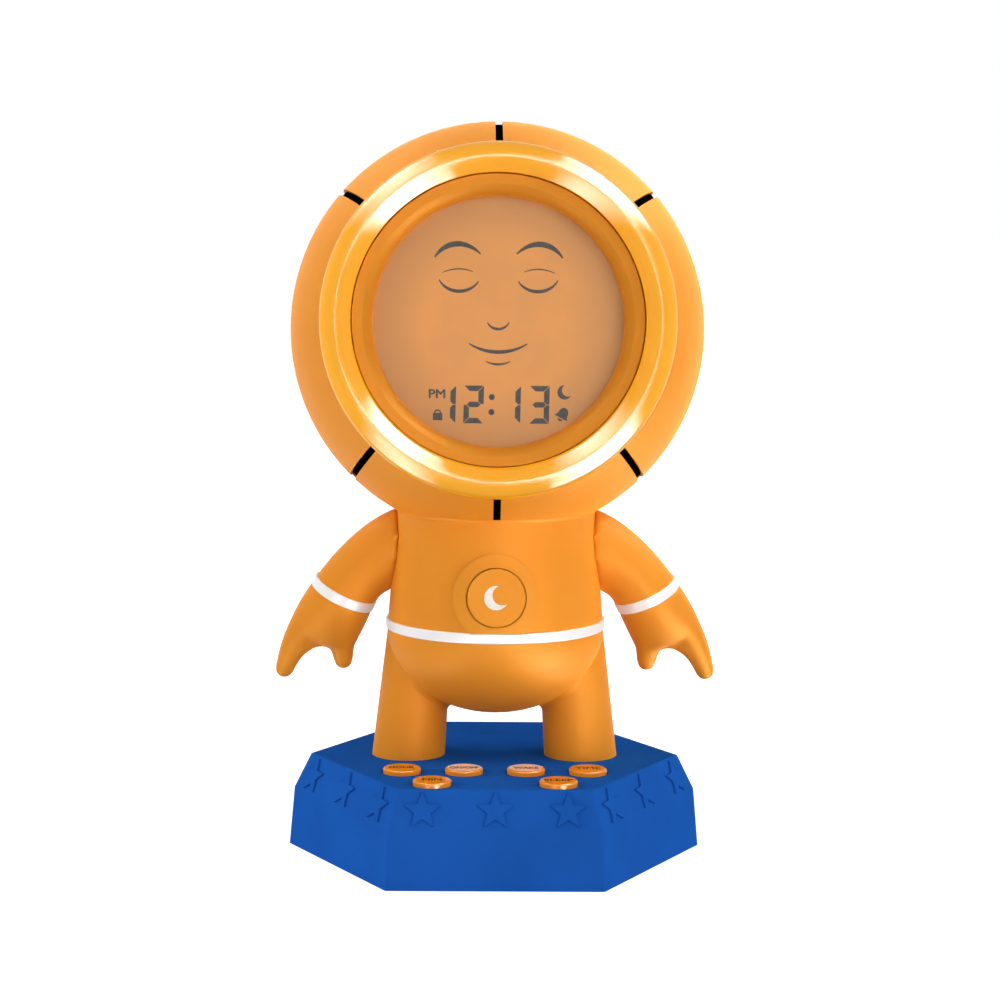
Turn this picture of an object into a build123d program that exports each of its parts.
from build123d import *
import os
from math import asin, atan2, cos, degrees, radians, sin, sqrt

# Projection alarm clock: a helmeted toy figure that stands on a six-sided plinth of keys.
# Millimetres, +Z up. The figure faces -Y, and the origin lies under the plinth, at table height.

# Plinth
base_recess = 0.5
plinth_height = 27.0
plinth_radius = 60.0
crease_height = 16.9
crease_radius = 58.5
plinth_wall = 2.2
plinth_top_wall = 2.5
plinth_corner_round = 0.8
plinth_top_round = 0.8
star_radius = 5.3
star_notch_radius = 2.3
star_drop = 0.5
star_pitch = 20.0
stars_per_face = 3
star_relief = 0.6
star_root = 0.5

# Base plate, feet and screws
base_thickness = 2.0
base_clearance = 0.15
foot_radius = 4.0
foot_inset = 8.0
foot_pocket = 1.0
foot_clearance = 0.1
base_screw_inset = 6.0
base_screw_angles = (30, 150, 270)
boss_radius = 3.2
screw_radius = 1.4
screw_head_radius = 2.6
screw_head_height = 1.6
screw_clearance = 0.2
screw_bite = 9.0
screw_fit = 0.05
screw_web = 1.2
screw_slot_radius = 0.7
screw_slot_depth = 0.8

# Batteries
cell_radius = 7.25
cell_length = 49.5
cell_nipple_radius = 2.75
cell_nipple = 1.0
cell_count = 3
cell_gap = 0.6
cell_rest = 0.15
contact_thickness = 0.4
contact_width = 9.0
contact_reach = 1.6
contact_pad_radius = 2.4
box_wall = 1.5
box_rear_gap = 1.6
box_headroom = 0.4
door_clearance = 0.3
door_tab_length = 8.0
door_tab_width = 12.0
door_tab_thickness = 1.0
door_tongue_width = 10.0
door_tongue_reach = 1.0
door_tongue_thickness = 0.8
door_tongue_spacing = 26.0
door_boss_height = 5.0
door_head_lift = 0.1

# Keys on the plinth
key_radius = 5.35
key_proud = 1.4
key_round = 0.6
key_clearance = 0.3
key_pitch = 17.5
key_row_y = -25.0
key_edge_gap = 0.83
key_travel = 1.0
key_flange_length = 13.0
key_flange_width = 8.0
key_flange_thickness = 1.2
key_seat = 0.1
key_stem_radius = 1.5
key_stem_clearance = 0.4
switch_size = 6.0
switch_height = 4.0
switch_dome_depth = 3.2
switch_headroom = 0.4
press_reserve = 0.15

# Key board
pcb_thickness = 1.6
pcb_rear_y = -13.5
pcb_front_y = -43.5
pcb_wall_gap = 0.6
pcb_half_width = 33.0
pcb_screw_inset = 3.0
pcb_inner_boss_x = 6.0
pcb_inner_boss_y = -33.5
pcb_boss_radius = 2.4
pcb_notch_gap = 0.8
chip_size = 11.0
chip_height = 1.4
chip_y = -22.0

# Torso, belly and legs
belt_rise = 39.15
torso_rise = 32.8
neck_line_radius = 28.6
belly_radius = 31.35
belly_depth = 24.7
body_wall = 2.2
leg_foot_x = 25.1
leg_foot_radius = 10.6
leg_top_x = 21.7
leg_top_radius = 9.3
leg_top_drop = 0.8
leg_fit = 0.05
leg_pin_fit = 0.1
sole_thickness = 3.0
leg_screw_y = 5.0
leg_boss_radius = 2.8
leg_boss_height = 9.0
belt_height = 3.0
belt_proud = 0.5
belt_groove = 0.8
belt_fit = 0.05
belt_round = 0.4
deck_wall = 2.5
deck_drop = 0.3
body_boss_radius = 4.2
body_boss_x = 19.5
body_boss_upper = 14.5
body_boss_lower = 14.0
body_screw_seat = 6.0
counterbore_clearance = 0.5

# Chest key
chest_rise = 11.45
chest_pad_radius = 12.3
chest_pad_proud = 0.45
chest_pad_round = 0.4
chest_key_radius = 8.2
chest_key_clearance = 0.3
chest_key_round = 0.25
chest_pad_wall = 2.4
chest_cup_depth = 9.0
chest_cup_wall = 1.3
chest_flange_radius = 10.2
chest_flange_thickness = 1.2
chest_board_thickness = 1.2
chest_board_gap = 0.4
chest_switch_height = 4.0

# Speaker and grille
speaker_rise = 11.3
speaker_radius = 10.5
speaker_seat_y = 21.0
speaker_depth = 8.0
speaker_rim = 1.5
speaker_rim_width = 2.0
speaker_wall = 0.8
speaker_magnet_radius = 6.5
speaker_magnet_depth = 4.0
speaker_seat_wall = 1.4
grille_hole_radius = 1.1
grille_pitch = 3.6
grille_rings = 2

# Arms
arm_lean = 8.0
arm_root_x = 22.0
arm_root_z = 89.3
arm_root_radius = 10.8
arm_elbow_x = 38.9
arm_elbow_z = 80.7
arm_elbow_radius = 8.8
arm_elbow_turn = 37.0
arm_band_x = 44.0
arm_band_z = 74.0
arm_band_radius = 9.1
arm_band_turn = 65.0
palm_x = 50.3
palm_z = 62.0
palm_half_width = 9.7
palm_half_depth = 6.0
palm_turn = 67.0
palm_crown = 2.8
finger_root_x = 54.4
finger_root_z = 64.2
finger_root_radius = 5.0
finger_mid_x = 59.2
finger_mid_z = 56.8
finger_mid_radius = 3.4
finger_tip_x = 61.7
finger_tip_z = 50.6
finger_tip_radius = 2.4
thumb_root_x = 45.4
thumb_root_z = 63.0
thumb_root_radius = 5.0
thumb_mid_x = 44.8
thumb_mid_z = 58.0
thumb_mid_radius = 3.4
thumb_tip_x = 44.4
thumb_tip_z = 53.4
thumb_tip_radius = 2.4
web_finger_x = 58.4
web_finger_z = 53.0
web_crown_x = 50.2
web_crown_z = 58.0
web_thumb_x = 46.9
web_thumb_z = 54.4
web_half_depth = 3.2
web_round = 2.2
band_width = 3.1
band_proud = 0.6
band_groove = 0.5
band_fit = 0.03
band_round = 0.3
arm_peg_z = 81.0
arm_peg_radius = 4.0
arm_peg_flange_radius = 5.8
arm_peg_flange = 1.8
arm_peg_fit = 0.08
arm_seat_gap = 0.05

# Head shells
head_radius = 59.15
head_wall = 2.4
head_tilt = 7.0
head_gap = 0.25
head_split_y = 6.0
lip_length = 3.0
lip_wall = 1.3
lip_fit = 0.1
slot_width = 2.1
slot_step = 1.4
slot_angles = (90, 40.5, 139.5, -46, -90, -134)
slot_sink = 0.9
slot_rib_gap = 0.1
liner_wall = 1.2
liner_width = 5.2
liner_fit = 0.03
liner_end_gap = 0.5
head_boss_radius = 3.6
head_boss_inset = 5.9
head_boss_length = 14.0
head_boss_angles = (22.5, 157.5, 202.5, 337.5)
head_screw_seat = 4.0

# Display
bezel_inset = 10.1
bezel_width = 8.7
bezel_rim = 1.0
bezel_crest_inset = 3.5
bezel_crest = 4.8
bezel_lip = 2.6
bezel_shoulder_turn = 40.0
bezel_slope_turn = 60.0
bezel_spigot = 2.4
bezel_spigot_wall = 1.7
bezel_spigot_fit = 0.1
bezel_flange = 2.4
bezel_screw_inset = 4.9
bezel_screw_angles = (0, 67.5, 112.5, 180, 247.5, 292.5)
bezel_screw_bite = 3.2
shroud_gap = 0.3
shroud_front = 1.2
shroud_step_inset = 3.0
shroud_step = 0.5
window_inset = 5.7
window_depth = 5.2
shroud_wall = 2.0
throat_share = 0.3
shroud_flange_inset = 2.6
shroud_flange = 2.0
shroud_length = 12.0
lcd_fit = 0.2
lcd_overlap = 1.7
lcd_thickness = 2.2
backlight_thickness = 3.0
backlight_inset = 5.4
zebra_length = 30.0
zebra_width = 2.4
zebra_inset = 3.4
display_board_thickness = 1.6
display_ear_offset = 2.0
display_ear_radius = 3.0
display_ear_angles = (20, 160, 270)
display_screw_bite = 5.0

# Neck
neck_radius = 7.0
neck_bore = 5.0
neck_fit = 0.08
neck_pad_radius = 13.0
neck_pad_height = 3.0
neck_flange_radius = 11.0
neck_flange = 2.0
neck_nut_radius = 11.0
neck_nut_height = 5.0
neck_tail = 1.0

# Projector in the back of the head
projector_rise = 45.0
projector_plate_radius = 15.5
projector_flat_radius = 14.2
projector_sink = 2.4
projector_plate = 2.5
ring_radius = 13.2
ring_seat = 0.1
ring_height = 5.4
ring_round = 0.8
ring_hub_radius = 11.4
ring_hub_clearance = 0.3
ring_flange_radius = 13.0
ring_flange = 1.5
ring_flange_gap = 0.3
ring_bore = 8.9
ring_ribs = 24
ring_rib_radius = 0.5
housing_bore = 8.5
housing_wall = 1.9
housing_gap = 0.4
housing_depth = 30.0
housing_step_depth = 21.0
housing_step_bore = 6.5
housing_ear_reach = 18.0
housing_ear_depth = 14.0
housing_ear_thickness = 2.0
housing_ear_radius = 3.4
housing_ear_angles = (30, 150, 270)
projector_post_radius = 2.8
lens_cell_fit = 0.08
lens_cell_depth = 14.0
lens_cell_rise = 3.0
lens_radius = 7.2
lens_fit = 0.05
lens_depth = 1.5
lens_edge = 1.2
lens_crown = 2.0
lens_lip = 0.8
film_thickness = 0.6
film_fit = 0.1
led_board_thickness = 1.6
led_radius = 2.5
led_height = 3.0

MIN_END = (Align.CENTER, Align.CENTER, Align.MIN)
FAR = 200.0
CUT = 1.0
seam_turn = 62.0  # keeps the seam of a turned face off the cuts made in it

hex_cos = cos(radians(30))
key_front_y = key_row_y - key_pitch * sin(radians(60))
plinth_top_radius = (key_radius + key_edge_gap - key_front_y) / hex_cos
plinth_floor = base_recess + base_thickness
plinth_ceiling = plinth_height - plinth_top_wall
belt_z = plinth_height + belt_rise
belt_bottom = belt_z - belt_height / 2
leg_top_z = belt_bottom - leg_top_drop
neck_z = belt_z + torso_rise
belly_bottom = belt_bottom - belly_depth
torso_slope = (belly_radius - neck_line_radius) / (neck_z - belt_bottom)
head_z = neck_z + sqrt(head_radius ** 2 - neck_line_radius ** 2)
head_inner = head_radius - head_wall
head_boss_reach = head_radius - head_boss_inset
bezel_radius = head_radius - bezel_inset
bezel_inner_radius = bezel_radius - bezel_width
bezel_crest_radius = bezel_radius - bezel_crest_inset
bezel_screw_radius = bezel_radius - bezel_screw_inset
shroud_step_radius = bezel_inner_radius - shroud_step_inset
window_radius = bezel_inner_radius - window_inset
shroud_flange_radius = bezel_radius - shroud_flange_inset
backlight_half_height = window_radius - backlight_inset
zebra_offset = window_radius - zebra_inset
projector_flat = head_radius - projector_sink
housing_bottom = projector_flat - housing_depth
housing_step = projector_flat - housing_step_depth
housing_ear_level = projector_flat - housing_ear_depth
lens_cell_bottom = projector_flat - lens_cell_depth
lens_cell_top = projector_flat + lens_cell_rise
lens_level = projector_flat - lens_depth
deck_top = head_z - head_radius - head_gap - deck_drop
deck_bottom = deck_top - deck_wall
chest_z = belt_z + chest_rise
speaker_z = belt_z + speaker_rise
seat_y = -sqrt(head_radius ** 2 - bezel_radius ** 2)
flange_bore = bezel_inner_radius + bezel_spigot_wall + bezel_spigot_fit


def rod(point, direction, radius, length):
    return Plane(origin=point, z_dir=direction) * Cylinder(radius, length, align=MIN_END)


def tube(point, direction, outer, inner, length):
    return rod(point, direction, outer, length) - rod(point, direction, inner, length)


def block(x_span, y_span, z_span):
    centre = [(low + high) / 2 for low, high in (x_span, y_span, z_span)]
    size = [high - low for low, high in (x_span, y_span, z_span)]
    return Pos(*centre) * Box(*size)


def screw(point, direction, bite):
    # Pan head behind the point, plain shank of the thread's size ahead of it.
    shank = rod(point, direction, screw_radius, bite)
    ahead = Vector(*direction).normalized()
    back = Vector(*point) - ahead * screw_head_height
    head = rod(back, direction, screw_head_radius, screw_head_height)
    slot = rod(back - ahead * CUT, direction, screw_slot_radius, CUT + screw_slot_depth)
    return head + shank - slot


def torso_radius(z):
    return belly_radius - (z - belt_bottom) * torso_slope


def plinth_radius_at(z):
    if z <= crease_height:
        return plinth_radius + (crease_radius - plinth_radius) * z / crease_height
    share = (z - crease_height) / (plinth_height - crease_height)
    return crease_radius + (plinth_top_radius - crease_radius) * share


def plinth_inner_at(z):
    return plinth_radius_at(z) - plinth_wall / hex_cos


def hexagon(radius, z, corner=0.0):
    outline = RegularPolygon(radius, 6)
    if corner:
        outline = fillet(outline.vertices(), corner)
    return Pos(0, 0, z) * outline


base_radius = plinth_inner_at(plinth_floor) - base_clearance / hex_cos
base_screw_reach = base_radius * hex_cos - base_screw_inset
base_screw_points = [
    (base_screw_reach * cos(radians(a)), base_screw_reach * sin(radians(a))) for a in base_screw_angles
]
foot_reach = base_radius - foot_inset
foot_points = [(foot_reach * cos(radians(60 * k)), foot_reach * sin(radians(60 * k))) for k in range(6)]

key_points = {
    "hour_button": (-1.5 * key_pitch, key_row_y),
    "minute_button": (-key_pitch, key_front_y),
    "alarm_button": (-0.5 * key_pitch, key_row_y),
    "wake_button": (0.5 * key_pitch, key_row_y),
    "sleep_button": (key_pitch, key_front_y),
    "time_button": (1.5 * key_pitch, key_row_y),
}
key_flange_top = plinth_ceiling - key_seat
key_flange_bottom = key_flange_top - key_flange_thickness
switch_top = key_flange_bottom - key_travel - switch_headroom
pcb_top = switch_top - switch_height
pcb_bottom = pcb_top - pcb_thickness
key_stem_end = switch_top - switch_dome_depth + press_reserve + key_travel
pcb_outer_boss_x = pcb_half_width - pcb_screw_inset
pcb_outer_boss_y = pcb_rear_y - pcb_screw_inset
pcb_boss_points = [
    (-pcb_outer_boss_x, pcb_outer_boss_y),
    (pcb_outer_boss_x, pcb_outer_boss_y),
    (-pcb_inner_boss_x, pcb_inner_boss_y),
    (pcb_inner_boss_x, pcb_inner_boss_y),
]
leg_screw_points = [
    (side * leg_foot_x, end * leg_screw_y) for side in (-1, 1) for end in (-1, 1)
]

cell_pitch = 2 * cell_radius + cell_gap
cell_room = cell_count * cell_pitch + cell_gap
box_half_x = (cell_length + cell_nipple) / 2 + contact_reach + contact_thickness
box_rear_y = foot_reach * sin(radians(60)) - foot_radius - foot_clearance - box_rear_gap - box_wall
box_front_y = box_rear_y - cell_room
box_ceiling = plinth_floor + cell_rest + 2 * cell_radius + box_headroom
cell_z = plinth_floor + cell_rest + cell_radius
cell_ys = [box_front_y + cell_gap + cell_radius + k * cell_pitch for k in range(cell_count)]
door_screw_y = box_front_y - door_tab_length / 2 - box_wall


def plinth_star(face_angle, offset):
    crease_flat = crease_radius * hex_cos
    top_flat = plinth_top_radius * hex_cos
    lean = atan2(crease_flat - top_flat, plinth_height - crease_height)
    ca, sa = cos(radians(face_angle)), sin(radians(face_angle))
    reach = (crease_flat + top_flat) / 2
    face = Plane(
        origin=(reach * ca, reach * sa, (crease_height + plinth_height) / 2),
        x_dir=(-sa, ca, 0),
        z_dir=(cos(lean) * ca, cos(lean) * sa, sin(lean)),
    )
    corners = []
    for k in range(10):
        radius = star_notch_radius if k % 2 else star_radius
        angle = radians(90 + 36 * k)
        corners.append((offset + radius * cos(angle), radius * sin(angle) - star_drop))
    outline = face.offset(-star_root) * Polygon(*corners, align=None)
    return extrude(outline, amount=star_root + star_relief)


def plinth_shell():
    outer = loft(
        [
            hexagon(plinth_radius, 0, plinth_corner_round),
            hexagon(crease_radius, crease_height, plinth_corner_round),
            hexagon(plinth_top_radius, plinth_height, plinth_corner_round),
        ],
        ruled=True,
    )
    outer = fillet(outer.faces().sort_by(Axis.Z)[-1].edges(), plinth_top_round)
    inner = loft(
        [
            hexagon(plinth_inner_at(-CUT), -CUT),
            hexagon(plinth_inner_at(crease_height), crease_height),
            hexagon(plinth_inner_at(plinth_ceiling), plinth_ceiling),
        ],
        ruled=True,
    )
    first = -(stars_per_face - 1) / 2 * star_pitch
    offsets = [first + n * star_pitch for n in range(stars_per_face)]
    stars = [plinth_star(30 + 60 * k, offset) for k in range(6) for offset in offsets]
    shell = outer + stars - inner
    for x, y in base_screw_points:
        shell += rod((x, y, plinth_floor), (0, 0, 1), boss_radius, plinth_ceiling - plinth_floor + CUT)
        shell -= rod((x, y, plinth_floor), (0, 0, 1), screw_radius + screw_fit, screw_bite + CUT)
    for x, y in pcb_boss_points:
        drop = plinth_ceiling - pcb_top
        shell += rod((x, y, pcb_top), (0, 0, 1), pcb_boss_radius, drop + CUT)
        shell -= rod((x, y, pcb_top), (0, 0, 1), screw_radius + screw_fit, drop - CUT)
    for x, y in key_points.values():
        shell -= rod((x, y, plinth_ceiling - CUT), (0, 0, 1), key_radius + key_clearance, FAR)
    for x, y in leg_screw_points:
        shell -= rod((x, y, plinth_ceiling - CUT), (0, 0, 1), screw_radius + screw_clearance, FAR)
    return shell


def base_plate():
    plate = extrude(hexagon(base_radius, base_recess), amount=base_thickness)
    plate -= block((-box_half_x, box_half_x), (box_front_y, box_rear_y), (0, plinth_floor + CUT))
    for x, y in foot_points:
        plate -= rod((x, y, 0), (0, 0, 1), foot_radius + foot_clearance, base_recess + foot_pocket)
    for x, y in base_screw_points:
        plate -= rod((x, y, 0), (0, 0, 1), screw_radius + screw_clearance, FAR)
        head_room = base_recess + base_thickness - screw_web
        plate -= rod((x, y, 0), (0, 0, 1), screw_head_radius + screw_clearance, head_room)
    plate += rod((0, door_screw_y, plinth_floor - CUT / 2), (0, 0, 1), boss_radius, door_boss_height)
    tab_half = door_tab_width / 2 + door_clearance
    tab_front = box_front_y - door_tab_length - box_wall - door_clearance
    tab_top = base_recess + door_tab_thickness
    plate -= block((-tab_half, tab_half), (tab_front, box_front_y), (0, tab_top))
    door_hole = plinth_floor + door_boss_height - CUT
    plate -= rod((0, door_screw_y, 0), (0, 0, 1), screw_radius + screw_fit, door_hole)
    for side in (-1, 1):
        tongue = block(
            (-door_tongue_width / 2 - door_clearance, door_tongue_width / 2 + door_clearance),
            (box_rear_y - CUT, box_rear_y + door_tongue_reach + door_clearance),
            (plinth_floor - door_tongue_thickness - door_clearance, plinth_floor + CUT),
        )
        plate -= Pos(side * door_tongue_spacing / 2, 0, 0) * tongue
    return plate


def battery_door():
    half = box_half_x - door_clearance
    front, rear = box_front_y + door_clearance, box_rear_y - door_clearance
    door = block((-half, half), (front, rear), (base_recess, plinth_floor))
    tab_front = box_front_y - door_tab_length - box_wall
    tab_top = base_recess + door_tab_thickness
    tab_half = door_tab_width / 2
    door += block((-tab_half, tab_half), (tab_front, front + CUT), (base_recess, tab_top))
    for side in (-1, 1):
        tongue = block(
            (-door_tongue_width / 2, door_tongue_width / 2),
            (rear - CUT, box_rear_y + door_tongue_reach),
            (plinth_floor - door_tongue_thickness, plinth_floor),
        )
        door += Pos(side * door_tongue_spacing / 2, 0, 0) * tongue
    return door - rod((0, door_screw_y, 0), (0, 0, 1), screw_radius + screw_clearance, FAR)


def battery_door_screw():
    # The head lies in the recess under the plate.
    shank = rod((0, door_screw_y, base_recess), (0, 0, 1), screw_radius, door_boss_height)
    head_height = base_recess - door_head_lift
    return shank + rod((0, door_screw_y, door_head_lift), (0, 0, 1), screw_head_radius, head_height)


def battery_box():
    outer = block(
        (-box_half_x - box_wall, box_half_x + box_wall),
        (box_front_y - box_wall, box_rear_y + box_wall),
        (plinth_floor, box_ceiling + box_wall),
    )
    room = block((-box_half_x, box_half_x), (box_front_y, box_rear_y), (plinth_floor - CUT, box_ceiling))
    box = outer - room
    rib_depth = cell_radius / 2
    for low, high in zip(cell_ys, cell_ys[1:]):
        middle = (low + high) / 2
        rib = block(
            (-box_half_x - box_wall / 2, box_half_x + box_wall / 2),
            (middle - cell_gap / 2, middle + cell_gap / 2),
            (box_ceiling - rib_depth, box_ceiling + box_wall / 2),
        )
        box += rib
    return box


def battery_cells():
    cells = []
    for k, y in enumerate(cell_ys):
        way = 1 if k % 2 else -1
        start = -way * (cell_length + cell_nipple) / 2
        can = rod((start, y, cell_z), (way, 0, 0), cell_radius, cell_length)
        shoulder = (start + way * cell_length, y, cell_z)
        nipple = rod(shoulder, (way, 0, 0), cell_nipple_radius, cell_nipple)
        cells.append(can + nipple)
    return Compound(cells)


def battery_contacts():
    contacts = []
    for side in (-1, 1):
        for y in cell_ys:
            wall = side * box_half_x
            face = side * (box_half_x - contact_thickness)
            half = contact_width / 2
            leaf = block(sorted((wall, face)), (y - half, y + half), (cell_z - half, cell_z + half))
            reach = contact_thickness + contact_reach
            leaf += rod((wall, y, cell_z), (-side, 0, 0), contact_pad_radius, reach)
            contacts.append(leaf)
    return Compound(contacts)


def rubber_feet():
    return Compound(
        [rod((x, y, 0), (0, 0, 1), foot_radius, base_recess + foot_pocket) for x, y in foot_points]
    )


def base_screws():
    seat = base_recess + base_thickness - screw_web
    return Compound([screw((x, y, seat), (0, 0, 1), screw_bite) for x, y in base_screw_points])


def plinth_button(x, y):
    height = plinth_height + key_proud - key_flange_bottom
    cap = rod((x, y, key_flange_bottom), (0, 0, 1), key_radius, height)
    cap = fillet(cap.faces().sort_by(Axis.Z)[-1].edges(), key_round)
    half_x, half_y = key_flange_length / 2, key_flange_width / 2
    levels = (key_flange_bottom, key_flange_top)
    flange = block((x - half_x, x + half_x), (y - half_y, y + half_y), levels)
    stem = rod((x, y, key_stem_end), (0, 0, 1), key_stem_radius, key_flange_bottom - key_stem_end + CUT)
    return cap + flange + stem


def main_pcb():
    board = block((-pcb_half_width, pcb_half_width), (pcb_front_y, pcb_rear_y), (pcb_bottom, pcb_top))
    room = hexagon(plinth_inner_at(pcb_top) - pcb_wall_gap / hex_cos, pcb_bottom)
    board &= extrude(room, amount=pcb_thickness)
    for x, y in base_screw_points:
        board -= rod((x, y, 0), (0, 0, 1), boss_radius + pcb_notch_gap, FAR)
    for x, y in pcb_boss_points:
        board -= rod((x, y, 0), (0, 0, 1), screw_radius + screw_clearance, FAR)
    return board


def pcb_screws():
    bite = pcb_thickness + plinth_ceiling - pcb_top - 2 * CUT
    return Compound([screw((x, y, pcb_bottom), (0, 0, 1), bite) for x, y in pcb_boss_points])


def key_switches():
    switches = []
    half = switch_size / 2
    for x, y in key_points.values():
        body = block((x - half, x + half), (y - half, y + half), (pcb_top, switch_top))
        well_radius = key_stem_radius + key_stem_clearance
        well = rod((x, y, switch_top - switch_dome_depth), (0, 0, 1), well_radius, FAR)
        switches.append(body - well)
    return Compound(switches)


def controller_chip():
    half = chip_size / 2
    return block((-half, half), (chip_y - half, chip_y + half), (pcb_bottom - chip_height, pcb_bottom))


def body_profile(inset, top):
    # Half section of belly and torso, drawn in X and Z, with its wall moved in by the inset.
    wide = belly_radius - inset
    deep = belly_depth - inset
    belly = EllipticalCenterArc((0, belt_bottom), wide, deep, start_angle=-90, arc_size=90)
    top_radius = torso_radius(top) - inset
    side = Line((wide, belt_bottom), (top_radius, top))
    lid = Line((top_radius, top), (0, top))
    axis = Line((0, top), (0, belt_bottom - deep))
    return Plane.XZ * make_face(Curve() + [belly, side, lid, axis])


def leg_solid(side, inset, bottom, top):
    # An oblique cone between level circles, so the sole stands flat on the plinth.
    def station(z):
        share = (z - plinth_height) / (belt_z - plinth_height)
        x = leg_foot_x + (leg_top_x - leg_foot_x) * share
        radius = leg_foot_radius + (leg_top_radius - leg_foot_radius) * share - inset
        return Pos(side * x, 0, z) * Rot(0, 0, side * seam_turn) * Circle(radius)

    return loft([station(bottom), station(top)])


def body_form(inset, top):
    return Rot(0, 0, seam_turn) * revolve(body_profile(inset, top), axis=Axis.Z)


def leg(side):
    # A hollow cone that stands on the plinth. The body's lower screw bosses pass through it and pin it.
    form = leg_solid(side, 0, plinth_height, leg_top_z)
    form -= leg_solid(side, body_wall, plinth_height + sole_thickness, leg_top_z + CUT)
    wall_middle = leg_solid(side, body_wall / 2, plinth_height + sole_thickness / 2, leg_top_z)
    for end in (-1, 1):
        x, y = side * leg_foot_x, end * leg_screw_y
        form += rod((x, y, plinth_height), (0, 0, 1), leg_boss_radius, leg_boss_height) & wall_middle
        start = (x, y, plinth_height - CUT)
        form -= rod(start, (0, 0, 1), screw_radius + screw_fit, leg_boss_height)
    pin = (side * body_boss_x, -FAR, belt_z - body_boss_lower)
    return form - rod(pin, (0, 1, 0), body_boss_radius + leg_pin_fit, 2 * FAR)


chest_lean = degrees(atan2(torso_slope, 1))
chest_out = Vector(0, -cos(radians(chest_lean)), sin(radians(chest_lean)))
chest_face = Vector(0, -torso_radius(chest_z), chest_z) + chest_out * chest_pad_proud
chest_in = chest_out * -1
chest_flange_front = chest_pad_wall + key_seat
chest_board_front = chest_cup_depth
chest_switch_front = chest_board_front - chest_switch_height
chest_stem_end = chest_switch_front + switch_dome_depth - press_reserve - key_travel
arm_peg_wall = torso_radius(arm_peg_z + arm_peg_flange_radius) - body_wall
arm_peg_x = sqrt(arm_peg_wall ** 2 - arm_peg_flange_radius ** 2) - arm_seat_gap - arm_peg_flange
body_screw_points = [
    (side * body_boss_x, z)
    for side in (-1, 1)
    for z in (belt_z + body_boss_upper, belt_z - body_boss_lower)
]


def chest_rod(depth, radius, length):
    return rod(chest_face + chest_in * depth, chest_in, radius, length)


def grille_points():
    points = [(0.0, 0.0)]
    for ring in range(1, grille_rings + 1):
        for k in range(6 * ring):
            angle = radians(360 * k / (6 * ring))
            points.append((ring * grille_pitch * cos(angle), ring * grille_pitch * sin(angle)))
    return points


def head_ball(radius):
    return Pos(0, 0, head_z) * Sphere(radius)


def body_shell():
    # Bosses and seats end in the middle of the wall that carries them.
    shell = body_form(0, neck_z + body_wall * 2) - body_form(body_wall, neck_z + body_wall * 3)
    wall_middle = body_form(body_wall / 2, neck_z + body_wall)
    for side in (-1, 1):
        shell -= leg_solid(side, -leg_fit, plinth_height, leg_top_z + leg_fit)
    pad = chest_rod(0, chest_pad_radius, chest_cup_depth)
    shell += fillet(pad.edges().sort_by(Axis.Y)[0], chest_pad_round)
    deck_radius = torso_radius(deck_top) - body_wall / 2
    shell += rod((0, 0, deck_bottom), (0, 0, 1), deck_radius, deck_wall)
    seat_length = torso_radius(speaker_z) - speaker_seat_y
    seat_bore = speaker_radius - speaker_seat_wall
    seat = tube((0, speaker_seat_y, speaker_z), (0, 1, 0), speaker_radius, seat_bore, seat_length)
    shell += seat & wall_middle
    for x, z in body_screw_points:
        shell += rod((x, -FAR, z), (0, 1, 0), body_boss_radius, 2 * FAR) & wall_middle
    return shell


def body_cuts():
    cuts = [
        chest_rod(chest_pad_wall, chest_pad_radius - chest_cup_wall, chest_cup_depth),
        chest_rod(-CUT, chest_key_radius + chest_key_clearance, chest_cup_depth),
        rod((0, 0, deck_bottom - CUT), (0, 0, 1), neck_radius + neck_fit, FAR),
    ]
    for x, z in grille_points():
        cuts.append(rod((x, speaker_seat_y, speaker_z + z), (0, 1, 0), grille_hole_radius, FAR))
    for x, z in body_screw_points:
        cuts.append(rod((x, -screw_bite, z), (0, 1, 0), screw_radius + screw_fit, FAR))
        counterbore = screw_head_radius + counterbore_clearance
        cuts.append(rod((x, body_screw_seat, z), (0, 1, 0), counterbore, FAR))
    groove_radius = torso_radius(belt_z) - belt_groove
    cuts.append(tube((0, 0, belt_bottom), (0, 0, 1), FAR, groove_radius, belt_height))
    for side in (-1, 1):
        peg_start = (side * arm_peg_x, 0, arm_peg_z)
        cuts.append(rod(peg_start, (side, 0, 0), arm_peg_radius + arm_peg_fit, FAR))
    cuts.append(head_ball(head_radius + head_gap))
    return cuts


def body_halves():
    shell = body_shell() - body_cuts()
    front = shell & block((-FAR, FAR), (-FAR, 0), (0, 2 * FAR))
    rear = shell & block((-FAR, FAR), (0, FAR), (0, 2 * FAR))
    return front, rear


def body_screws():
    return Compound(
        [
            screw((x, body_screw_seat, z), (0, -1, 0), body_screw_seat + screw_bite - CUT)
            for x, z in body_screw_points
        ]
    )


def leg_screws():
    bite = plinth_top_wall + leg_boss_height - 2 * CUT
    return Compound([screw((x, y, plinth_ceiling), (0, 0, 1), bite) for x, y in leg_screw_points])


def belt_band():
    inner = torso_radius(belt_z) - belt_groove + belt_fit
    outer = torso_radius(belt_z) + belt_proud
    ring = tube((0, 0, belt_bottom + belt_fit), (0, 0, 1), outer, inner, belt_height - 2 * belt_fit)
    return fillet(ring.faces().filter_by(GeomType.CYLINDER).sort_by(SortBy.AREA)[-1].edges(), belt_round)


def arm_plane(x, z, turn):
    # A section across the arm, whose local X lies across the hand and local Y runs front to back.
    t = radians(turn)
    return Plane(origin=(x, 0, z), x_dir=(sin(t), 0, cos(t)), z_dir=(cos(t), 0, -sin(t)))


def limb(stations, turn):
    tip_x, tip_z, tip_radius = stations[-1]
    form = loft([arm_plane(x, z, turn) * Circle(radius) for x, z, radius in stations])
    return form + arm_plane(tip_x, tip_z, turn).location * Sphere(tip_radius)


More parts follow.
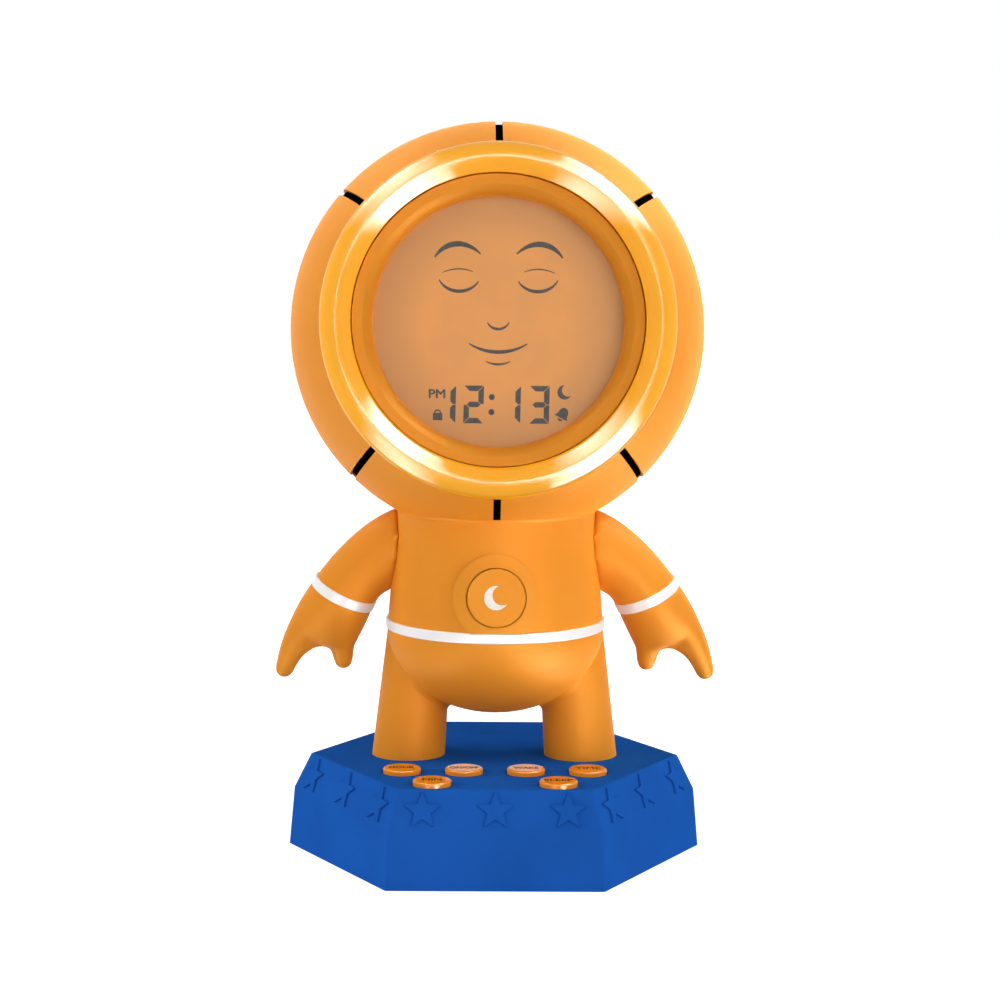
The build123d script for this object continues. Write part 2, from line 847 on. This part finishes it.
def arm_right():
    upper = loft(
        [
            arm_plane(arm_root_x, arm_root_z, 0) * Circle(arm_root_radius),
            arm_plane(arm_elbow_x, arm_elbow_z, arm_elbow_turn) * Circle(arm_elbow_radius),
            arm_plane(arm_band_x, arm_band_z, arm_band_turn) * Circle(arm_band_radius),
            arm_plane(palm_x, palm_z, palm_turn) * Ellipse(palm_half_width, palm_half_depth),
        ]
    )
    finger_turn = degrees(atan2(finger_root_z - finger_tip_z, finger_tip_x - finger_root_x))
    thumb_turn = degrees(atan2(thumb_root_z - thumb_tip_z, thumb_tip_x - thumb_root_x))
    finger = limb(
        [
            (finger_root_x, finger_root_z, finger_root_radius),
            (finger_mid_x, finger_mid_z, finger_mid_radius),
            (finger_tip_x, finger_tip_z, finger_tip_radius),
        ],
        finger_turn,
    )
    thumb = limb(
        [
            (thumb_root_x, thumb_root_z, thumb_root_radius),
            (thumb_mid_x, thumb_mid_z, thumb_mid_radius),
            (thumb_tip_x, thumb_tip_z, thumb_tip_radius),
        ],
        thumb_turn,
    )
    heel = scale(Sphere(1.0), by=(palm_half_width, palm_half_depth, palm_crown))
    heel = arm_plane(palm_x, palm_z, palm_turn).location * heel
    return upper + finger + thumb + heel + finger_web()


def finger_web():
    # Fills the fork of the hand down to an arch, whose two edges are rounded.
    arch = Spline(
        (web_finger_x, web_finger_z),
        (web_crown_x, web_crown_z),
        (web_thumb_x, web_thumb_z),
        tangents=[(-1, 1), (0, -1)],
    )
    rim = Polyline(
        (web_thumb_x, web_thumb_z),
        (thumb_mid_x, thumb_mid_z),
        (thumb_root_x, thumb_root_z),
        (finger_root_x, finger_root_z),
        (finger_mid_x, finger_mid_z),
        (web_finger_x, web_finger_z),
    )
    face = Plane.XZ.offset(-web_half_depth) * make_face(Curve() + [arch, rim])
    web = extrude(face, amount=2 * web_half_depth, dir=(0, -1, 0))
    return fillet(web.edges().filter_by(GeomType.LINE, reverse=True), web_round)


def lean_back(shape):
    return Pos(0, 0, arm_root_z) * Rot(arm_lean, 0, 0) * Pos(0, 0, -arm_root_z) * shape


def band_tube(outer, inner, width):
    plane = arm_plane(arm_band_x, arm_band_z, arm_band_turn)
    return tube(plane.origin - plane.z_dir * (width / 2), plane.z_dir, outer, inner, width)


def arm_and_band():
    groove = band_tube(FAR / 2, arm_band_radius - band_groove, band_width)
    arm = lean_back(arm_right() - groove)
    arm -= revolve(body_profile(-arm_seat_gap, neck_z + body_wall * 2), axis=Axis.Z)
    arm -= head_ball(head_radius + head_gap)
    arm += rod((arm_peg_x, 0, arm_peg_z), (1, 0, 0), arm_peg_radius, arm_elbow_x - arm_peg_x)
    arm += rod((arm_peg_x, 0, arm_peg_z), (1, 0, 0), arm_peg_flange_radius, arm_peg_flange)
    outer = arm_band_radius + band_proud
    band = band_tube(outer, arm_band_radius - band_groove + band_fit, band_width - 2 * band_fit)
    band = fillet(band.faces().filter_by(GeomType.CYLINDER).sort_by(SortBy.AREA)[-1].edges(), band_round)
    return arm, lean_back(band)


def chest_button():
    key = chest_rod(0, chest_key_radius, chest_flange_front + chest_flange_thickness)
    key = fillet(key.edges().sort_by(Axis.Y)[0], chest_key_round)
    key += chest_rod(chest_flange_front, chest_flange_radius, chest_flange_thickness)
    return key + chest_rod(chest_flange_front, key_stem_radius, chest_stem_end - chest_flange_front)


def chest_switch_board():
    # Rests on the rim of the cup and is cut straight under the deck.
    board = chest_rod(chest_board_front, chest_pad_radius, chest_board_thickness)
    return board & block((-FAR, FAR), (-FAR, FAR), (0, deck_bottom - chest_board_gap))


def chest_switch():
    housing = chest_rod(chest_switch_front, switch_size / 2, chest_switch_height)
    well_radius = key_stem_radius + key_stem_clearance
    return housing - chest_rod(chest_switch_front, well_radius, switch_dome_depth)


def speaker_basket():
    rim_y = speaker_seat_y - speaker_rim
    back_y = speaker_seat_y - speaker_depth
    throat = speaker_magnet_radius
    profile = Polyline(
        (speaker_radius, speaker_seat_y),
        (speaker_radius, rim_y),
        (speaker_radius - speaker_rim_width, rim_y),
        (throat, back_y + speaker_wall),
        (throat, back_y - speaker_magnet_depth / 2),
        (0, back_y - speaker_magnet_depth / 2),
        (0, back_y),
        (throat - speaker_wall, back_y),
        (throat - speaker_wall, back_y + speaker_wall),
        (speaker_radius - speaker_rim_width - speaker_wall, rim_y),
        (speaker_radius - speaker_rim_width - speaker_wall, speaker_seat_y),
        close=True,
    )
    return Pos(0, 0, speaker_z) * revolve(make_face(profile), axis=Axis.Y)


def speaker_cone():
    rim_y = speaker_seat_y - speaker_rim
    back_y = speaker_seat_y - speaker_depth
    rim = speaker_radius - speaker_rim_width - speaker_wall
    throat = speaker_magnet_radius - speaker_wall
    gap = speaker_wall / 2
    profile = Polyline(
        (rim - gap, rim_y + gap),
        (rim - gap, rim_y + gap + speaker_wall),
        (throat - speaker_wall, back_y + 2 * speaker_wall),
        (0, back_y + 3 * speaker_wall),
        (0, back_y + gap),
        (throat - gap, back_y + gap),
        (throat - gap, back_y + speaker_wall),
        close=True,
    )
    return Pos(0, 0, speaker_z) * revolve(make_face(profile), axis=Axis.Y)


def tilt(shape):
    # The head is drawn about its own centre with the display on -Y, then tipped to look up.
    return Pos(0, 0, head_z) * Rot(-head_tilt, 0, 0) * shape


def ring_point(radius, angle, y):
    return (radius * cos(radians(angle)), y, radius * sin(radians(angle)))


neck_down = (0, sin(radians(head_tilt)), -cos(radians(head_tilt)))
projector_out = Vector(0, cos(radians(projector_rise)), sin(radians(projector_rise)))
beam_plane = Plane(origin=(0, 0, 0), x_dir=(1, 0, 0), z_dir=projector_out)


def neck_rod(start, radius, length):
    return rod(Vector(*neck_down) * start, neck_down, radius, length)


def beam_rod(start, radius, length):
    return rod(projector_out * start, projector_out, radius, length)


def beam_point(radius, angle, level):
    turn = radians(angle)
    return beam_plane.from_local_coords(Vector(radius * cos(turn), radius * sin(turn), level))


def ball_arc(radius, y_start, y_end):
    # Part of a great circle in the half section that is turned about Y.
    def point(angle):
        return (radius * cos(angle), radius * sin(angle))

    first, last = asin(y_start / radius), asin(y_end / radius)
    return ThreePointArc(point(first), point((first + last) / 2), point(last))


def turned(curves):
    # Closes a chain of curves with straight lines and turns it about Y.
    chain = Curve() + curves
    ends = zip(curves, curves[1:] + curves[:1])
    gaps = [Line(one @ 1, two @ 0) for one, two in ends if (one @ 1 - two @ 0).length > CUT / 1000]
    return revolve(make_face(chain + gaps), axis=Axis.Y)


def ball_band(outer, inner, y_low, y_high):
    return turned([ball_arc(outer, y_low, y_high), ball_arc(inner, y_high, y_low)])


def slot_bar(angle, width, y_low, y_high, start):
    bar = block((start, FAR), (y_low, y_high), (-width / 2, width / 2))
    return Rot(0, -angle, 0) * bar


def neck_pad():
    pad = neck_rod(head_inner - neck_pad_height, neck_pad_radius, head_wall + neck_pad_height)
    return pad & Sphere(head_radius - head_wall / 2)


def neck_hole():
    return neck_rod(head_inner - neck_pad_height - CUT, neck_radius + neck_fit, FAR)


def head_boss(angle, start, length):
    return rod(ring_point(head_boss_reach, angle, start), (0, 1, 0), head_boss_radius, length)


def head_front():
    flange_back = seat_y + bezel_flange
    shell = turned(
        [
            ball_arc(head_radius, seat_y, head_split_y),
            ball_arc(head_inner, head_split_y, flange_back),
            Line((flange_bore, flange_back), (flange_bore, seat_y)),
        ]
    )
    front = head_split_y - head_boss_length
    for angle in head_boss_angles:
        shell += head_boss(angle, front, head_boss_length) & Sphere(head_radius - head_wall / 2)
        start = ring_point(head_boss_reach, angle, front + CUT)
        shell -= rod(start, (0, 1, 0), screw_radius + screw_fit, head_boss_length)
    shell += neck_pad() & block((-FAR, FAR), (-FAR, head_split_y), (-FAR, FAR))
    shell -= neck_hole()
    for angle in slot_angles:
        shell -= slot_bar(angle, slot_width, seat_y - CUT, head_split_y + CUT, bezel_radius - slot_step)
    for angle in bezel_screw_angles:
        start = ring_point(bezel_screw_radius, angle, seat_y - CUT)
        shell -= rod(start, (0, 1, 0), screw_radius + screw_clearance, bezel_flange + 2 * CUT)
    return shell


def head_rear():
    lip_outer = head_inner - lip_fit
    lip_inner = lip_outer - lip_wall
    lip_front = head_split_y - lip_length
    lip_back = head_split_y + lip_length
    shell = turned(
        [
            ball_arc(head_radius, head_split_y, head_radius),
            ball_arc(head_inner, head_inner, lip_back),
            ball_arc(lip_inner, lip_back, lip_front),
            ball_arc(lip_outer, lip_front, head_split_y),
        ]
    )
    shell -= neck_rod(head_inner - 2 * neck_pad_height, neck_pad_radius + lip_fit, FAR) & block(
        (-FAR, FAR), (-FAR, head_split_y), (-FAR, FAR)
    )
    shell += neck_pad() & block((-FAR, FAR), (head_split_y, FAR), (-FAR, FAR))
    shell -= neck_hole()
    for angle in head_boss_angles:
        start = ring_point(head_boss_reach, angle, lip_front - CUT)
        shell -= rod(start, (0, 1, 0), head_boss_radius + head_gap, lip_length + CUT)
        shell += head_boss(angle, head_split_y, FAR) & Sphere(head_radius - head_wall / 2)
        start = ring_point(head_boss_reach, angle, head_split_y - CUT)
        shell -= rod(start, (0, 1, 0), screw_radius + screw_clearance, FAR)
        start = ring_point(head_boss_reach, angle, head_split_y + head_screw_seat)
        shell -= rod(start, (0, 1, 0), screw_head_radius + counterbore_clearance, FAR)
    plate_bottom = projector_flat - projector_plate
    wall_middle = Sphere(head_radius - head_wall / 2)
    shell += beam_rod(plate_bottom, projector_plate_radius, projector_plate) & wall_middle
    for angle in housing_ear_angles:
        foot = beam_point(housing_ear_reach, angle, housing_ear_level + housing_ear_thickness)
        shell += rod(foot, projector_out, projector_post_radius, FAR) & wall_middle
        shell -= rod(foot, projector_out, screw_radius + screw_fit, screw_bite - CUT)
    shell -= beam_rod(projector_flat, projector_flat_radius, FAR)
    return shell - beam_rod(plate_bottom - CUT, ring_hub_radius + ring_hub_clearance, FAR)


def slot_liners():
    liners = []
    y_low = seat_y + bezel_flange + liner_end_gap
    y_high = head_split_y - lip_length - liner_end_gap
    # Each liner lies on the inside of the head, and its rib fills the slot to just under the surface.
    shell = ball_band(head_inner - liner_fit, head_inner - liner_wall, y_low, y_high)
    ribs = ball_band(head_radius - slot_sink, head_inner - liner_wall / 2, y_low, y_high)
    rib_width = slot_width - 2 * slot_rib_gap
    for angle in slot_angles:
        liner = shell & slot_bar(angle, liner_width, -FAR, FAR, 0)
        liner += ribs & slot_bar(angle, rib_width, -FAR, FAR, 0)
        liner -= neck_rod(0, neck_pad_radius + liner_end_gap, FAR)
        liners.append(liner)
    return Compound(liners)


def head_screws():
    screws = []
    for angle in head_boss_angles:
        seat = ring_point(head_boss_reach, angle, head_split_y + head_screw_seat)
        screws.append(screw(seat, (0, -1, 0), head_screw_seat + screw_bite))
    return Compound(screws)


def bezel_ring():
    back = seat_y + bezel_spigot
    spigot = bezel_inner_radius + bezel_spigot_wall
    rim = Polyline(
        (bezel_inner_radius, seat_y - bezel_lip),
        (bezel_inner_radius, back),
        (spigot, back),
        (spigot, seat_y),
        (bezel_radius, seat_y),
        (bezel_radius, seat_y - bezel_rim),
    )
    shoulder_angle = radians(bezel_shoulder_turn)
    reach = bezel_radius - bezel_crest_radius
    rise = bezel_crest - bezel_rim
    shoulder = (
        bezel_crest_radius + reach * cos(shoulder_angle),
        seat_y - bezel_rim - rise * sin(shoulder_angle),
    )
    crest = (bezel_crest_radius, seat_y - bezel_crest)
    outside = ThreePointArc((bezel_radius, seat_y - bezel_rim), shoulder, crest)
    inside_mid = (
        (bezel_crest_radius + bezel_inner_radius) / 2,
        seat_y - bezel_lip - (bezel_crest - bezel_lip) * sin(radians(bezel_slope_turn)),
    )
    inside = ThreePointArc(crest, inside_mid, (bezel_inner_radius, seat_y - bezel_lip))
    ring = revolve(make_face(Curve() + [rim, outside, inside]), axis=Axis.Y)
    for angle in bezel_screw_angles:
        start = ring_point(bezel_screw_radius, angle, seat_y - bezel_screw_bite)
        ring -= rod(start, (0, 1, 0), screw_radius + screw_fit, bezel_screw_bite + CUT)
    return ring


def bezel_screws():
    seat = seat_y + bezel_flange + shroud_flange
    bite = bezel_flange + shroud_flange + bezel_screw_bite - CUT / 2
    return Compound(
        [screw(ring_point(bezel_screw_radius, a, seat), (0, -1, 0), bite) for a in bezel_screw_angles]
    )


shroud_outer = bezel_inner_radius - shroud_gap
lcd_radius = window_radius + lcd_overlap
shroud_bore = lcd_radius + lcd_fit
display_ear_reach = shroud_bore + shroud_wall + display_ear_offset
shroud_back = seat_y + shroud_length
lcd_front = seat_y + window_depth
lcd_back = lcd_front + lcd_thickness


def display_shroud():
    flange_front = seat_y + bezel_flange
    flange_back = flange_front + shroud_flange
    step = (shroud_step_radius, seat_y - shroud_front + shroud_step)
    window_edge = (window_radius, flange_back)
    body = Polyline(
        window_edge,
        (window_radius, lcd_front),
        (shroud_bore, lcd_front),
        (shroud_bore, shroud_back),
        (shroud_bore + shroud_wall, shroud_back),
        (shroud_bore + shroud_wall, flange_back),
        (shroud_flange_radius, flange_back),
        (shroud_flange_radius, flange_front),
        (shroud_outer, flange_front),
        (shroud_outer, seat_y - shroud_front),
        step,
    )
    bulge = (
        window_radius + (shroud_step_radius - window_radius) * throat_share,
        step[1] + (flange_back - step[1]) * throat_share,
    )
    throat = ThreePointArc(step, bulge, window_edge)
    shroud = Rot(0, seam_turn, 0) * revolve(make_face(Curve() + [body, throat]), axis=Axis.Y)
    for angle in bezel_screw_angles:
        start = ring_point(bezel_screw_radius, angle, flange_front - CUT)
        shroud -= rod(start, (0, 1, 0), screw_radius + screw_clearance, shroud_flange + 2 * CUT)
    for angle in display_ear_angles:
        start = ring_point(display_ear_reach, angle, flange_back - CUT)
        shroud += rod(start, (0, 1, 0), display_ear_radius, shroud_back - flange_back + CUT)
    for angle in display_ear_angles:
        start = ring_point(display_ear_reach, angle, shroud_back - display_screw_bite - CUT)
        shroud -= rod(start, (0, 1, 0), screw_radius + screw_fit, display_screw_bite + 2 * CUT)
    return shroud


def lcd_panel():
    return rod((0, lcd_front, 0), (0, 1, 0), lcd_radius, lcd_thickness)


def lcd_backlight():
    guide = rod((0, lcd_back, 0), (0, 1, 0), lcd_radius, backlight_thickness)
    return guide & block((-FAR, FAR), (-FAR, FAR), (-backlight_half_height, backlight_half_height))


def zebra_strips():
    half = zebra_length / 2
    strips = []
    for side in (-1, 1):
        middle = side * zebra_offset
        span = (middle - zebra_width / 2, middle + zebra_width / 2)
        strips.append(block((-half, half), (lcd_back, shroud_back), span))
    return Compound(strips)


def display_board():
    board = rod((0, shroud_back, 0), (0, 1, 0), shroud_bore + shroud_wall, display_board_thickness)
    for angle in display_ear_angles:
        start = ring_point(display_ear_reach, angle, shroud_back)
        board += rod(start, (0, 1, 0), display_ear_radius, display_board_thickness)
    for angle in display_ear_angles:
        start = ring_point(display_ear_reach, angle, shroud_back - CUT)
        board -= rod(start, (0, 1, 0), screw_radius + screw_clearance, display_board_thickness + 2 * CUT)
    return board


def display_screws():
    seat = shroud_back + display_board_thickness
    bite = display_board_thickness + display_screw_bite
    return Compound(
        [screw(ring_point(display_ear_reach, a, seat), (0, -1, 0), bite) for a in display_ear_angles]
    )


def neck_tube():
    pad_top = head_z - head_inner + neck_pad_height
    bottom = deck_bottom - neck_nut_height - neck_tail
    spindle = rod((0, 0, bottom), (0, 0, 1), neck_radius, pad_top - bottom)
    spindle += rod((0, 0, pad_top), (0, 0, 1), neck_flange_radius, neck_flange)
    return spindle - rod((0, 0, bottom - CUT), (0, 0, 1), neck_bore, FAR)


def neck_nut():
    nut = extrude(hexagon(neck_nut_radius, deck_bottom - neck_nut_height), amount=neck_nut_height)
    return nut - rod((0, 0, 0), (0, 0, 1), neck_radius + neck_fit, FAR)


def projector_housing():
    top = projector_flat - projector_plate - ring_flange_gap - ring_flange - housing_gap
    outer = housing_bore + housing_wall
    housing = beam_rod(housing_bottom, outer, top - housing_bottom)
    for angle in housing_ear_angles:
        bridge = block(
            (0, housing_ear_reach),
            (-housing_ear_radius, housing_ear_radius),
            (housing_ear_level, housing_ear_level + housing_ear_thickness),
        )
        housing += beam_plane * (Rot(0, 0, angle) * bridge)
        end = beam_point(housing_ear_reach, angle, housing_ear_level)
        housing += rod(end, projector_out, housing_ear_radius, housing_ear_thickness)
    for angle in housing_ear_angles:
        end = beam_point(housing_ear_reach, angle, housing_ear_level - CUT)
        depth = housing_ear_thickness + 2 * CUT
        housing -= rod(end, projector_out, screw_radius + screw_clearance, depth)
    housing -= beam_rod(housing_bottom - CUT, housing_step_bore, FAR)
    return housing - beam_rod(housing_step, housing_bore, FAR)


def projector_screws():
    bite = housing_ear_thickness + screw_bite - 2 * CUT
    return Compound(
        [
            screw(beam_point(housing_ear_reach, a, housing_ear_level), projector_out, bite)
            for a in housing_ear_angles
        ]
    )


def projector_led_board():
    back = housing_bottom - led_board_thickness
    return beam_rod(back, housing_bore + housing_wall, led_board_thickness)


def projector_led():
    stem = beam_rod(housing_bottom, led_radius, led_height)
    dome = Pos(*(projector_out * (housing_bottom + led_height))) * Sphere(led_radius)
    return stem + dome


def projector_film():
    return beam_rod(housing_step, housing_bore - film_fit, film_thickness)


def focus_ring():
    bottom = projector_flat + ring_seat
    ring = beam_rod(bottom, ring_radius, ring_height)
    ring = fillet(ring.edges().sort_by(lambda edge: edge.center().dot(projector_out))[-1], ring_round)
    for k in range(ring_ribs):
        start = beam_point(ring_radius, 360 * k / ring_ribs, bottom - CUT)
        ring -= rod(start, projector_out, ring_rib_radius, ring_height + 2 * CUT)
    flange_top = projector_flat - projector_plate - ring_flange_gap
    ring += beam_rod(flange_top - ring_flange, ring_hub_radius, bottom + CUT - flange_top + ring_flange)
    ring += beam_rod(flange_top - ring_flange, ring_flange_radius, ring_flange)
    return ring - beam_rod(flange_top - ring_flange - CUT, ring_bore, FAR)


def lens_cell():
    outer = housing_bore - lens_cell_fit
    cell = beam_rod(lens_cell_bottom, outer, lens_cell_top - lens_cell_bottom)
    cell -= beam_rod(lens_cell_bottom - CUT, lens_radius - lens_lip, FAR)
    return cell - beam_rod(lens_level, lens_radius + lens_fit, FAR)


def projector_lens():
    # Flat behind, domed in front.
    dome_radius = (lens_radius ** 2 + lens_crown ** 2) / (2 * lens_crown)
    disc = beam_rod(lens_level, lens_radius, 2 * lens_edge + lens_crown)
    centre = projector_out * (lens_level + lens_edge + lens_crown - dome_radius)
    return disc & (Pos(*centre) * Sphere(dome_radius))


def all_parts():
    front, rear = body_halves()
    right_arm, right_band = arm_and_band()
    parts = {
        "plinth_shell": plinth_shell(),
        "base_plate": base_plate(),
        "battery_door": battery_door(),
        "battery_door_screw": battery_door_screw(),
        "battery_box": battery_box(),
        "battery_cells": battery_cells(),
        "battery_contacts": battery_contacts(),
        "rubber_feet": rubber_feet(),
        "base_screws": base_screws(),
        "main_pcb": main_pcb(),
        "pcb_screws": pcb_screws(),
        "key_switches": key_switches(),
        "controller_chip": controller_chip(),
        "body_front": front,
        "body_rear": rear,
        "leg_right": leg(1),
        "leg_left": leg(-1),
        "body_screws": body_screws(),
        "leg_screws": leg_screws(),
        "arm_right": right_arm,
        "arm_left": mirror(right_arm, about=Plane.YZ),
        "arm_band_right": right_band,
        "arm_band_left": mirror(right_band, about=Plane.YZ),
        "belt_band": belt_band(),
        "chest_button": chest_button(),
        "chest_switch_board": chest_switch_board(),
        "chest_switch": chest_switch(),
        "speaker_basket": speaker_basket(),
        "speaker_cone": speaker_cone(),
        "neck_tube": neck_tube(),
        "neck_nut": neck_nut(),
    }
    for name, (x, y) in key_points.items():
        parts[name] = plinth_button(x, y)
    head = {
        "head_front": head_front(),
        "head_rear": head_rear(),
        "head_screws": head_screws(),
        "slot_liners": slot_liners(),
        "bezel_ring": bezel_ring(),
        "bezel_screws": bezel_screws(),
        "display_shroud": display_shroud(),
        "lcd_panel": lcd_panel(),
        "lcd_backlight": lcd_backlight(),
        "zebra_strips": zebra_strips(),
        "display_board": display_board(),
        "display_screws": display_screws(),
        "projector_housing": projector_housing(),
        "projector_screws": projector_screws(),
        "projector_led_board": projector_led_board(),
        "projector_led": projector_led(),
        "projector_film": projector_film(),
        "focus_ring": focus_ring(),
        "lens_cell": lens_cell(),
        "projector_lens": projector_lens(),
    }
    for name, shape in head.items():
        parts[name] = tilt(shape)
    return parts


os.makedirs("parts", exist_ok=True)
for name, shape in all_parts().items():
    export_step(shape, os.path.join("parts", name + ".step"))
